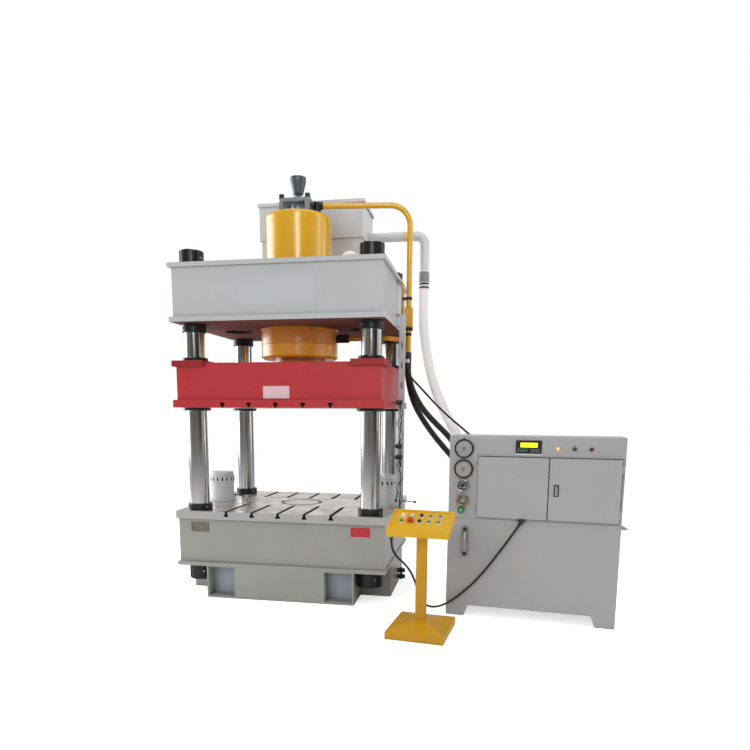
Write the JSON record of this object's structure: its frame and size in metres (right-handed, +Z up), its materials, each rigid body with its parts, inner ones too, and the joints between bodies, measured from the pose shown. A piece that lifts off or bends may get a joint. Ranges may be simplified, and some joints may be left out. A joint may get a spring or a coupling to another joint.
{
  "type": "hydraulic press",
  "caption": "Column-guided hydraulic press with T-slotted table, sliding beam, crown cylinder and filling tank, joined by hoses to an oil unit with switch box and a slanted button stand.",
  "frame": {"origin": "on the floor under the middle of the press, on the cylinder axis", "axes": "+X to the machine's right, where the oil unit stands; +Y to the back; +Z up"},
  "size_m": [3.2327, 2.1283, 3.165],
  "materials": {
    "grey_paint": "light grey gloss machine paint",
    "beam_paint": "warm mid grey machine paint",
    "unit_paint": "grey powder coat",
    "table_steel": "ground steel with an oil film",
    "slide_paint": "red gloss machine paint",
    "cylinder_paint": "yellow gloss machine paint",
    "stand_paint": "yellow powder coat",
    "hard_chrome": "ground hard chrome",
    "black_oxide": "black oxide",
    "bronze": "turned bronze",
    "forged_steel": "blue-grey machined steel",
    "orange_paint": "orange primer",
    "black_plastic": "black moulded plastic",
    "bright_metal": "polished chromium plate",
    "red_plastic": "red moulded plastic",
    "green_plastic": "green moulded plastic",
    "white_plastic": "white moulded plastic",
    "lamp_lens": "tinted lens",
    "dial_white": "cased dial, printed scale",
    "gauge_red": "red enamel",
    "zinc_plate": "zinc plated steel",
    "pump_paint": "blue-grey pump paint",
    "hose_rubber": "smooth black hose cover",
    "clear_hose": "reinforced translucent hose",
    "cable_jacket": "black cable jacket"
  },
  "bodies": {
    "frame": {"foot_frame": "beam_paint", "lower_beam": "beam_paint", "table_plate": "table_steel", "columns": "hard_chrome", "column_nuts": "black_oxide", "crown": "grey_paint", "main_cylinder": "cylinder_paint", "gland_ring": "cylinder_paint", "ejector_cylinder": "forged_steel", "filling_valve": "forged_steel", "fill_tank": "grey_paint", "pressure_pipe": "cylinder_paint", "ring_pipe": "orange_paint", "pipe_fittings": "black_oxide", "suction_pipe": "grey_paint", "limit_rail": "zinc_plate", "limit_sensors": "black_plastic", "stop_blocks": "grey_paint", "stand_column": "stand_paint", "stand_desk": "stand_paint", "control_bezels": "bright_metal", "oil_tank": "unit_paint", "switch_box": "unit_paint", "gauge_cases": "dial_white", "operator_terminal": "black_plastic", "signal_lamps": "lamp_lens", "level_gauge": "white_plastic", "mounting_plate": "zinc_plate", "pump_set": "pump_paint", "valve_block": "forged_steel", "filling_hose": "clear_hose", "front_pressure_hose": "hose_rubber", "rear_pressure_hose": "hose_rubber", "signal_cable": "cable_jacket", "console_cable": "cable_jacket", "sensor_lead": "cable_jacket"},
    "slide": {"slide_beam": "slide_paint", "slide_plate": "slide_paint", "guide_bushes": "bronze", "ram": "hard_chrome"},
    "ejector": {"ejector_plunger": "table_steel"},
    "left_stop": {"left_stop_screw": "grey_paint"},
    "right_stop": {"right_stop_screw": "grey_paint"},
    "left_leaf": {"left_door": "unit_paint"},
    "right_leaf": {"right_door": "unit_paint"},
    "lock": {"lock_handle": "bright_metal"},
    "upper_needle": {"upper_needle": "gauge_red"},
    "lower_needle": {"lower_needle": "gauge_red"},
    "upper_handwheel": {"upper_handwheel": "bright_metal"},
    "lower_handwheel": {"lower_handwheel": "bronze"},
    "isolator_knob": {"isolator_knob": "green_plastic"},
    "reset_button": {"reset_button": "white_plastic"},
    "down_button": {"down_button": "green_plastic"},
    "up_button": {"up_button": "green_plastic"},
    "start_button": {"start_button": "green_plastic"},
    "clamp_button": {"clamp_button": "green_plastic"},
    "jog_button": {"jog_button": "red_plastic"},
    "stop_mushroom": {"stop_mushroom": "red_plastic"},
    "mode_selector": {"mode_selector": "black_plastic"},
    "speed_selector": {"speed_selector": "black_plastic"}
  },
  "joints": [
    {"name": "slide_travel", "type": "slide", "parent": "frame", "child": "slide", "axis": [0, 0, 1], "range_m": [-0.5, 0]},
    {"name": "ejector_lift", "type": "slide", "parent": "frame", "child": "ejector", "axis": [0, 0, 1], "range_m": [0, 0.15]},
    {"name": "left_stop_turn", "type": "hinge", "parent": "frame", "child": "left_stop", "pos_m": [-0.69, 0, 0.841], "axis": [0, 0, 1], "range_deg": [-180, 180]},
    {"name": "right_stop_turn", "type": "hinge", "parent": "frame", "child": "right_stop", "pos_m": [0.69, 0, 0.841], "axis": [0, 0, 1], "range_deg": [-180, 180]},
    {"name": "left_door_hinge", "type": "hinge", "parent": "frame", "child": "left_leaf", "pos_m": [1.42777, -0.70813, 0.906], "axis": [0, 0, -1], "range_deg": [0, 90]},
    {"name": "right_door_hinge", "type": "hinge", "parent": "frame", "child": "right_leaf", "pos_m": [2.32968, -0.80405, 0.906], "axis": [0, 0, 1], "range_deg": [0, 110]},
    {"name": "lock_turn", "type": "hinge", "parent": "right_leaf", "child": "lock", "pos_m": [1.93353, -0.77499, 0.9], "axis": [-0.1057, -0.9944, 0], "range_deg": [0, 90]},
    {"name": "upper_needle_turn", "type": "hinge", "parent": "frame", "child": "upper_needle", "pos_m": [1.3344, -0.6972, 1.16], "axis": [0.1057, 0.9944, 0], "range_deg": [0, 270]},
    {"name": "lower_needle_turn", "type": "hinge", "parent": "frame", "child": "lower_needle", "pos_m": [1.3344, -0.6972, 1.024], "axis": [0.1057, 0.9944, 0], "range_deg": [0, 270]},
    {"name": "upper_wheel_turn", "type": "hinge", "parent": "frame", "child": "upper_handwheel", "pos_m": [1.33235, -0.70704, 0.913], "axis": [-0.1057, -0.9944, 0], "range_deg": [-540, 540]},
    {"name": "lower_wheel_turn", "type": "hinge", "parent": "frame", "child": "lower_handwheel", "pos_m": [1.33235, -0.70704, 0.813], "axis": [-0.1057, -0.9944, 0], "range_deg": [-540, 540]},
    {"name": "isolator_turn", "type": "hinge", "parent": "frame", "child": "isolator_knob", "pos_m": [1.32492, -0.70122, 0.744], "axis": [-0.1057, -0.9944, 0], "range_deg": [-90, 90]},
    {"name": "reset_button_press", "type": "slide", "parent": "frame", "child": "reset_button", "axis": [0.0487, 0.3698, -0.9278], "range_m": [0, 0.004], "stiffness_N_per_m": 400, "springref_m": -0.003},
    {"name": "down_button_press", "type": "slide", "parent": "frame", "child": "down_button", "axis": [0.0487, 0.3698, -0.9278], "range_m": [0, 0.004], "stiffness_N_per_m": 400, "springref_m": -0.003},
    {"name": "up_button_press", "type": "slide", "parent": "frame", "child": "up_button", "axis": [0.0487, 0.3698, -0.9278], "range_m": [0, 0.004], "stiffness_N_per_m": 400, "springref_m": -0.003},
    {"name": "start_button_press", "type": "slide", "parent": "frame", "child": "start_button", "axis": [0.0487, 0.3698, -0.9278], "range_m": [0, 0.004], "stiffness_N_per_m": 400, "springref_m": -0.003},
    {"name": "clamp_button_press", "type": "slide", "parent": "frame", "child": "clamp_button", "axis": [0.0487, 0.3698, -0.9278], "range_m": [0, 0.004], "stiffness_N_per_m": 400, "springref_m": -0.003},
    {"name": "jog_button_press", "type": "slide", "parent": "frame", "child": "jog_button", "axis": [0.0487, 0.3698, -0.9278], "range_m": [0, 0.004], "stiffness_N_per_m": 400, "springref_m": -0.003},
    {"name": "stop_mushroom_press", "type": "slide", "parent": "frame", "child": "stop_mushroom", "axis": [0.0487, 0.3698, -0.9278], "range_m": [0, 0.005], "stiffness_N_per_m": 800, "springref_m": -0.003},
    {"name": "mode_selector_turn", "type": "hinge", "parent": "frame", "child": "mode_selector", "pos_m": [1.08869, -1.15468, 0.73055], "axis": [-0.0487, -0.3698, 0.9278], "range_deg": [-45, 45]},
    {"name": "speed_selector_turn", "type": "hinge", "parent": "frame", "child": "speed_selector", "pos_m": [1.0968, -1.09304, 0.75554], "axis": [-0.0487, -0.3698, 0.9278], "range_deg": [-45, 45]}
  ]
}
